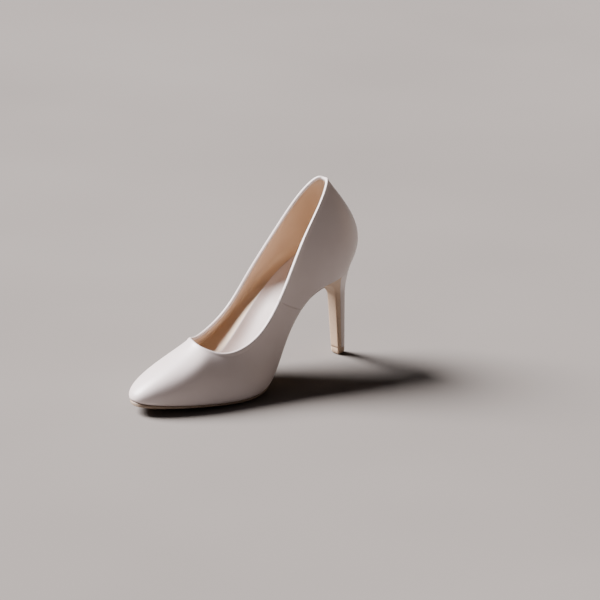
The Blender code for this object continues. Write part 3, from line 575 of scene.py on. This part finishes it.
def edge_shares(length, count):
    """Even shares of 0..1 with extra places close to both ends, for rounded edges."""
    near = np.array(EDGE_STEPS) / length
    even = np.linspace(0, 1, count)
    middle = even[(even > near[-1] * 1.3) & (even < 1 - near[-1] * 1.3)]
    return np.concatenate([[0], near, middle, 1 - near[::-1], [1]])


def edge_dip(t, length, reach=0.9, drop=0.3):
    """How far a sheet's face turns down towards its two ends, in millimetres."""
    distance = np.minimum(t, 1 - t) * length
    return drop * np.clip(1 - distance / reach, 0, 1) ** 2


# ============================ the upper =======================================================
def column(c_low, c_high, t, v_at):
    """Ring and wall coordinates of one column of points, between two edges that may run aslant."""
    c = c_low(0.5) + t * (c_high(0.5) - c_low(0.5))
    v = v_at(c)
    return c_low(v) + t * (c_high(v) - c_low(v)), v


def seam(v):
    """Ring coordinate of the inner side seam."""
    return SEAM_FOOT + (SEAM_TOP - SEAM_FOOT) * v


def seam_clearance(c, v, gap):
    """Half of the gap, as a step of the ring coordinate."""
    small = 0.01
    step = LAST.surface(c + small + 0 * v, v) - LAST.surface(c + 0 * v, v)
    return gap / 2 * small / np.linalg.norm(step, axis=-1)


def heel_share(ring):
    """1 over the heel, 0 in front of it."""
    return smooth_step((BREAST_LINE + 0.3 - side_place(ring)) / 0.6)


def upper_piece(name, c_low, c_high, length, made, replaced):
    """A section of the outer leather: turned in at the sole, rolled over at the topline."""
    t = edge_shares(length, int(length / COLUMN_SPACING))
    dip = edge_dip(t, length)
    foot = c_low(0 * t) + t * (c_high(0 * t) - c_low(0 * t))
    corner = 1 - HEEL_SHARPNESS * heel_share(foot)
    outside, inside = [], []
    for inset, height, inner_inset, inner_height in MARGIN:
        outside.append(LAST.on_bed(LAST.edge(foot, inset * corner + dip), height * corner + dip))
        inside.append(LAST.on_bed(LAST.edge(foot, inner_inset + 0 * foot), inner_height + 0 * foot))
    for share in np.linspace(0, 1, UPPER_COLUMNS):
        c, v = column(c_low, c_high, t, lambda c: wall_place(c, share))
        from_top = (1 - v) / (1 - LAST.v_below_top(c, 1.0))
        bulge = RIM_BULGE * smooth_step((RIM_BAND - from_top) / RIM_FADE)
        outside.append(LAST.wall(c, v, dip - bulge))
        thick = LEATHER + (FOLD - LEATHER) * smooth_step(RIM_BAND + 1 - from_top)
        inside.append(LAST.wall(c, v, thick))
    rim, rim_v = column(c_low, c_high, t, lambda c: LAST.v_below_top(c, RIM_START))
    half = (FOLD + RIM_BULGE) / 2
    for k in range(1, RIM_STEPS + 1):
        angle = math.pi / 2 * k / RIM_STEPS
        rise = RIM_RISE * math.sin(angle) + 0 * rim
        reach = half * (1 - math.cos(angle))
        outside.append(LAST.wall(rim, rim_v, RIM_DIP * dip - RIM_BULGE + reach, rise))
        inside.append(LAST.wall(rim, rim_v, FOLD - reach + 0 * rim, rise))
    return slab(name, np.stack(outside, 1), np.stack(inside, 1), made, "upper_leather", replaced)


def wall_place(c, share):
    """Wall coordinates from just above the feather edge to the foot of the rolled rim."""
    low, high = LAST.v_at_height(c, WALL_START), LAST.v_below_top(c, RIM_START)
    return low + (high - low) * share


def make_vamp(made):
    return upper_piece("vamp_leather", lambda v: seam(v) + seam_clearance(seam(v), v, SEAM_GAP),
                       lambda v: AROUND - seam_clearance(0.0, v, SEAM_GAP), VAMP_LENGTH, made,
                       ("vamp",))


def make_inside_quarter(made):
    return upper_piece("inside_quarter_leather", lambda v: seam_clearance(0.0, v, SEAM_GAP),
                       lambda v: seam(v) - seam_clearance(seam(v), v, SEAM_GAP), QUARTER_LENGTH,
                       made, ("inside_quarter",))


def sock_margin(ring):
    """The sock's edge, as an inset from the feather edge."""
    values = np.array(SOCK_MARGIN, float)[:, None]
    return closed_spline(np.arange(len(values) + 1.0), values, ring)[..., 0]


def sock_cup(ring):
    """How far the sock rises at its edge."""
    return np.interp(side_place(ring), np.arange(SIDE_STATIONS + 1), SOCK_CUP)


def lining_piece(name, c_low, c_high, made, replaced):
    """The lining: down the wall, then around a soft cove and in under the sock."""
    length = (c_high - c_low) * LINING_STATION
    t = edge_shares(length, int((c_high - c_low) * FINE))
    c = c_low + t * (c_high - c_low)
    dip = edge_dip(t, length, 0.8, 0.25)
    outer, inner = LINING_DEPTH
    cove, top = LAST.v_at_height(c, COVE_TOP), LAST.v_below_top(c, LINING_TOP)
    edge_height = SOCK_FLAT + sock_cup(c)
    skive, skive_height = LINING_TAPER
    skive_v = 1 - LAST.v_below_top(c, skive_height)
    outside, inside = [], []
    for grid, depth, under, thinned in ((outside, outer + 0 * c, LINING_THICKNESS, 0.0),
                                        (inside, inner - dip, 0.0, skive)):
        start = LAST.wall(c, cove, depth)
        turn = LAST.wall(c, LAST.v_at_height(c, edge_height + 0.6 - under), depth)
        end = LAST.on_bed(LAST.edge(c, sock_margin(c) + 0.8), edge_height - 0.25 - under)
        for share in np.linspace(1, 0, COVE_STEPS)[:-1]:
            grid.append((1 - share) ** 2 * start + 2 * share * (1 - share) * turn + share ** 2 * end)
        for share in 1 - (1 - np.linspace(0, 1, WALL_STEPS)) ** 1.7:
            v = cove + (top - cove) * share
            grid.append(LAST.wall(c, v, depth - thinned * smooth_step(1 - (top - v) / skive_v)))
    return slab(name, np.stack(outside, 1), np.stack(inside, 1), made, "lining_leather", replaced)


# ============================ the bottom ======================================================
def heel_pad_rise(c, s):
    """The pad under the heel is thickest in the middle of the seat."""
    along = smooth_step(c / PAD_SWELL) * smooth_step((PAD_FADE_END - c) / PAD_FADE)
    return HEEL_PAD_RISE * along * (1 - s ** 2)


def layer(name, c_low, c_high, low, high, inset, made, slot, replaced, across=44, floor=None):
    """A layer of the bottom with rounded edges; low and high are functions of c and s."""
    c = np.linspace(c_low, c_high, int((c_high - c_low) * FINE))[:, None]
    s = np.sin(np.linspace(-1, 1, across + 1) * math.pi / 2)[None, :]
    c, s = np.broadcast_arrays(c, s)
    grids = []
    for height in (high, low):
        grid = LAST.bed(c, s, height(c, s), inset)
        if floor is not None:
            grid[..., 2] = np.maximum(grid[..., 2], floor)
        grids.append(grid)
    return slab(name, *grids, made, slot, replaced)


def rounding(s, power, drop):
    return drop * np.abs(s) ** power


def at_point(c, s):
    """A cross line that has shrunk to a point is all edge."""
    return np.where((c <= 0) | (c >= SIDE_STATIONS), 1.0, s)


def make_sock(made):
    """The sock: cupped along both sides, with soft creases where the foot bends."""
    under = PAD_HEIGHT[1] + GAP

    def crease(c, s, middle, slant, depth, width):
        """One shallow pressed line across the sock."""
        fade = smooth_step((1.1 - np.abs(s)) * 2)
        return -depth * np.exp(-((c - middle - slant * s) / width) ** 2) * fade

    def top(c, s):
        s = at_point(c, s)
        cup = sock_cup(c) * np.abs(s) ** 3
        folds = sum(crease(c, s, *line) for line in CREASES)
        return under + SOCK_THICKNESS + heel_pad_rise(c, s) + cup + folds - rounding(s, 30, 0.6)

    def bottom(c, s):
        s = at_point(c, s)
        return under + heel_pad_rise(c, s) + sock_cup(c) * np.abs(s) ** 3

    return layer("sock_lining_leather", 0, SIDE_STATIONS, bottom, top, sock_margin, made,
                 "sock_leather", ("sock_lining",))


def sole_inset(ring):
    """The sole edge shows at the forepart and hides under the arch."""
    c = side_place(ring)
    return SOLE_INSET + (WAIST_INSET - SOLE_INSET) * smooth_step((6.0 - c) / 1.5)


def make_sole(made):
    low, high = SOLE_HEIGHT

    def bottom(c, s):
        s = at_point(c, s)
        return low + SOLE_EDGE_RELIEF * np.abs(s) ** 6 + rounding(s, 40, 0.5)

    def top(c, s):
        return high + 0 * at_point(c, s)

    return layer("outsole_resin", BREAST_LINE + 0.02, SIDE_STATIONS, bottom, top, sole_inset, made,
                 "sole", ("outsole",), floor=0.0)


def make_pad(name, c_low, c_high, rise, made, node):
    """A foam pad under the sock, with its edges shaved thin."""
    low, high = PAD_HEIGHT

    def top(c, s):
        s = at_point(c, s)
        return high + rise(c, s) - rounding(s, 8, 0.6)

    pad = layer(name, c_low, c_high, lambda c, s: low + 0 * c, top, BOARD_INSET, made, "foam",
                (node,), across=20)
    return pad


# ============================ the heel ========================================================
def stem_outline(z, turn, shrink):
    """The D-shaped section: turn runs 0..1 from the inner front corner around the back."""
    t = (z - STEM_FOOT) / (STEM_HEAD - STEM_FOOT)
    size = {key: STEM_TIP[key] + (STEM_TOP[key] - STEM_TIP[key]) * t for key in STEM_TIP}
    angle = math.pi * turn
    half = size["half_width"] - shrink
    front, back = size["front"] + shrink, size["back"] - shrink
    x = half * np.sign(np.cos(angle)) * np.abs(np.cos(angle)) ** STEM_ROUNDING
    y = front + (back - front) * np.sin(angle)
    return np.stack([x, y, z + 0 * turn], -1)


def flare(seat, stem, t, breast):
    """The swell from the stem to the seat; near the breast it first runs level to the back."""
    axis = np.array([0.0, STEM_MIDDLE, 0.0])
    inward = axis - seat
    inward[..., 2] = 0
    inward = inward / np.linalg.norm(inward, axis=-1)[..., None]
    breast = np.asarray(breast, float)[..., None]
    step_in, step_down = (back + more * breast for back, more in zip(FLARE_SEAT, FLARE_BREAST))
    first = seat + inward * step_in - np.array([0, 0, 1.0]) * step_down
    second = stem + np.array([0, 0, FLARE_DROP])
    return ((1 - t) ** 3 * seat + 3 * (1 - t) ** 2 * t * first
            + 3 * (1 - t) * t ** 2 * second + t ** 3 * stem)


def heel_outline(turn, level, shrink):
    """One ring of the heel: level 0..1 is the flare, 1..2 the stem."""
    if level >= 1:
        z = STEM_HEAD + (STEM_FOOT - STEM_HEAD) * (level - 1)
        return stem_outline(z, turn, shrink)
    c = BREAST_LINE * np.abs(1 - 2 * turn)
    ring = np.where(turn < 0.5, c, AROUND - c)
    seat = LAST.on_bed(LAST.edge(ring, SEAT_INSET + shrink + 0 * turn), HEEL_TOP + 0 * turn)
    share = breast_share(turn)
    seat[:, 1] += shrink * share
    return flare(seat, stem_outline(STEM_HEAD, turn, shrink), level, share)


def breast_share(turn):
    """1 at the two front corners, falling to 0 towards the back."""
    return 1 - smooth_step(np.minimum(turn, 1 - turn) / CORNER_SHARE)


def breast_row(level, across, shrink):
    """The breast face between the two front corners; across runs 1..-1."""
    share = ((across + 1) / 2)[:, None]
    ends = np.array([0.0, 1.0])
    if level >= 1:
        corners = heel_outline(ends, level, shrink)
        return corners[1] + (corners[0] - corners[1]) * share
    seat = LAST.bed(BREAST_LINE + 0 * across, across, HEEL_TOP + 0 * across, SEAT_INSET + shrink)
    seat[:, 1] += shrink
    stem = stem_outline(STEM_HEAD, ends, shrink)
    return flare(seat, stem[1] + (stem[0] - stem[1]) * share, level, 1 + 0 * across)


def ring_walls(levels, around):
    """Faces between rings of points, one ring after another."""
    faces = []
    for level in range(levels - 1):
        for k in range(around):
            here, there = level * around + k, level * around + (k + 1) % around
            faces.append((here, there, there + around, here + around))
    return faces


def make_heel_core(made):
    """The moulded heel under its covers: a ring of walls and a cupped seat, closed at the foot."""
    half = 24
    turns = np.linspace(0, 1, 2 * half + 1)
    across = np.linspace(-1, 1, 13)
    rings = [np.concatenate([heel_outline(turns, level, CORE_INSET),
                             breast_row(level, across[1:-1], CORE_INSET)]) for level in HEEL_LEVELS]
    around = len(rings[0])
    points = list(np.concatenate(rings))
    faces = ring_walls(len(rings), around)
    faces.append(tuple(range(len(points) - around, len(points))))
    c = BREAST_LINE * np.linspace(1, 0, half + 1)[:, None] + 0 * across
    seat = LAST.bed(c, across + 0 * c, HEEL_TOP + 0 * c, SEAT_INSET + CORE_INSET)
    seat[..., 1] += CORE_INSET * breast_share((1 - c / BREAST_LINE) / 2)
    columns = len(across)
    for row in range(half):
        for k in range(columns - 1):
            here = len(points) + row * columns + k
            faces.append((here, here + 1, here + columns + 1, here + columns))
    points.extend(seat.reshape(-1, 3))
    return add_piece("heel_core_plastic", points, faces, made, ("heel_core",))


def make_heel_cover(made):
    """The upper's leather over the back and the rear of both sides."""
    share = edge_shares(COVER_GIRTH, 60)
    turns = COVER_EDGE + COVER_GAP + (1 - 2 * COVER_EDGE - 2 * COVER_GAP) * share
    dip = edge_dip(share, COVER_GIRTH, 0.8, 0.3)
    outside = np.stack([heel_outline(turns, level, dip) for level in HEEL_LEVELS], 1)
    inside = np.stack([heel_outline(turns, level, HEEL_COVER) for level in HEEL_LEVELS], 1)
    return slab("heel_cover_leather", outside, inside, made, "upper_leather", ("heel_cover",))


def make_breast_cover(made):
    """The breast face and the front of both sides, with soft front corners."""
    side = (COVER_EDGE - COVER_GAP) * np.linspace(1, 0, 13) ** 1.5
    across = np.sin(np.linspace(1, -1, 25) * math.pi / 2)[1:-1]
    grids = []
    for shrink in (0.0, HEEL_COVER):
        rows = []
        for level in HEEL_LEVELS:
            row = np.concatenate([heel_outline(side, level, shrink), breast_row(level, across, shrink),
                                  heel_outline(1 - side[::-1], level, shrink)])
            rows.append(soften(row, len(side) - 1))
        grids.append(np.stack(rows, 1))
    return slab("heel_breast_leather", *grids, made, "breast_leather", ("heel_breast_cover",))


def soften(row, corner):
    """Rounds the two corners of a row of points, at this place from either end."""
    row = row.copy()
    sharp = row.copy()
    for at in (corner, len(row) - 1 - corner):
        distance = np.linalg.norm(sharp - sharp[at], axis=1)
        near = np.flatnonzero(distance < CORNER_RADIUS)
        first, last = sharp[near[0]], sharp[near[-1]]
        for k in near:
            share = (k - near[0]) / (near[-1] - near[0])
            row[k] = (1 - share) ** 2 * first + 2 * share * (1 - share) * sharp[at] + share ** 2 * last
    return row


def make_top_piece(made):
    """The heel tip, with its edges worn round."""
    turns = np.linspace(0, 1, 49)
    across = np.linspace(-1, 1, 13)[1:-1]
    middle = len(across) // 2 + 1          # each row starts here, so that no corner is at its end
    rings = []
    for z, shrink in TIP_RINGS:
        ring = stem_outline(STEM_FOOT, turns, shrink)
        front = ring[-1] + (ring[0] - ring[-1]) * ((across[:, None] + 1) / 2)
        ring = soften(np.concatenate([front[middle:], ring, front[:middle]]), len(front) - middle)
        ring[:, 2] = z
        rings.append(ring)
    around = len(rings[0])
    faces = ring_walls(len(rings), around)
    faces.append(tuple(range(around)))
    faces.append(tuple(range((len(rings) - 1) * around, len(rings) * around)))
    return add_piece("top_piece_resin", np.concatenate(rings), faces, made, ("top_piece",))


# ============================ stage, light, camera ============================================
CAMERA_AZIMUTH, CAMERA_ELEVATION = 47.7, 18.6
CAMERA_DISTANCE = 2540.0
LENS = 201.0
AIM = (0.0, -115.0, 70.0)      # on the shoe's middle line
AIM_RIGHT, AIM_UP = 45.6, -3.3
SHOE_MIDDLE = (0.0, 0.0, 0.06)  # where the lights point, in the row frame
FLOOR_REACH = 40.0
FLOOR_DROP = 0.0002


def camera_axes():
    a, e = math.radians(CAMERA_AZIMUTH), math.radians(CAMERA_ELEVATION)
    back = np.array([math.sin(a) * math.cos(e), -math.cos(a) * math.cos(e), math.sin(e)])
    right = np.array([math.cos(a), math.sin(a), 0.0])
    return right, np.cross(back, right), back


def make_camera():
    right, up, back = camera_axes()
    target = (np.array(AIM) + right * AIM_RIGHT + up * AIM_UP) * MM + SHIFT
    data = bpy.data.cameras.new("camera")
    data.lens = LENS
    data.sensor_width = 36.0
    data.clip_start, data.clip_end = 0.1, 20.0
    camera = bpy.data.objects.new("camera", data)
    bpy.context.collection.objects.link(camera)
    camera.location = Vector(target + back * CAMERA_DISTANCE * MM)
    camera.rotation_euler = (Vector(target) - camera.location).to_track_quat("-Z", "Y").to_euler()
    bpy.context.scene.camera = camera


def make_light(name, kind, place, energy, colour):
    """A light at this place in the row frame, in metres, turned towards the shoe's middle."""
    data = bpy.data.lights.new(name, kind)
    data.energy, data.color = energy, colour
    light = bpy.data.objects.new(name, data)
    bpy.context.collection.objects.link(light)
    light.location = Vector(place)
    light.rotation_euler = (Vector(SHOE_MIDDLE) - light.location).to_track_quat("-Z", "Y").to_euler()
    return data


def make_stage():
    mesh = bpy.data.meshes.new("floor")
    corners = [(x * FLOOR_REACH, y * FLOOR_REACH, 0) for x, y in ((-1, -1), (1, -1), (1, 1), (-1, 1))]
    mesh.from_pydata(corners, [], [(0, 1, 2, 3)])
    floor = bpy.data.objects.new("floor", mesh)
    bpy.context.collection.objects.link(floor)
    paint = Shader("floor_paint", 0.9)
    stops = ((0.3, (0.165, 0.147, 0.134)), (0.7, (0.185, 0.166, 0.152)))
    paint.colour(paint.ramp(paint.noise(3, 2.0), stops))
    mesh.materials.append(paint.material)
    floor.location.z = -FLOOR_DROP
    world = bpy.data.worlds.new("studio")
    world.use_nodes = True
    world.node_tree.nodes["Background"].inputs["Color"].default_value = (1.0, 0.93, 0.90, 1)
    world.node_tree.nodes["Background"].inputs["Strength"].default_value = 0.03
    bpy.context.scene.world = world


def make_lights():
    """A soft key from the outer side, and weak fills from the toe and from behind the inner side."""
    key = make_light("key", "SUN", (-1.29, -0.54, 1.36), 17.5, (1.0, 0.97, 0.985))
    key.angle = math.radians(34)
    front = make_light("front", "AREA", (0.03, -1.65, 0.79), 1.2, (0.97, 0.90, 1.0))
    front.size = 1.0
    side = make_light("warm_side", "AREA", (0.59, 1.49, 0.12), 1.7, (1.0, 0.68, 0.45))
    side.size = 0.8


# ============================ build ===========================================================
def finish_cad_nodes(materials):
    """The other inner pieces keep their CAD shape and get finer materials."""
    for node, made in materials.items():
        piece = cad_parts[node]
        piece.data.materials.clear()
        piece.data.materials.append(made)


def build():
    leather, lining, sock = upper_leather(), lining_leather(), sock_leather()
    foam_made, metal, board, cloth = foam(), steel(), fibre_board(), stiffener_cloth()
    make_vamp(leather)
    make_inside_quarter(leather)
    lining_piece("quarter_lining_leather", LINING_SEAMS[1] - AROUND, LINING_SEAMS[0], lining,
                 ("quarter_lining",))
    lining_piece("vamp_lining_leather", LINING_SEAMS[0] + 0.01, LINING_SEAMS[1] - 0.01, lining,
                 ("vamp_lining",))
    make_sock(sock)
    make_sole(sole_resin())
    make_pad("heel_pad_foam", 0, BOARD_JOINT, heel_pad_rise, foam_made, "heel_pad")
    make_pad("forefoot_pad_foam", BOARD_JOINT + 0.01, SIDE_STATIONS - 1, lambda c, s: 0 * c, foam_made,
             "forefoot_pad")
    make_heel_cover(leather)
    make_breast_cover(breast_leather())
    make_heel_core(heel_plastic())
    make_top_piece(tip_resin())
    nails = {f"heel_nail_{k}": metal for k in range(1, 6)}
    finish_cad_nodes({
        "topline_tape": cloth, "toe_puff": cloth, "heel_counter": cloth, "insole_board": board,
        "shank_board": board, "steel_shank": metal, "shank_rivet_1": metal, "shank_rivet_2": metal,
        "bottom_filler": foam_made, "heel_tube": metal,
        "top_piece_pin": metal, "heel_screw": metal, **nails})
    make_stage()
    make_camera()
    make_lights()


build()
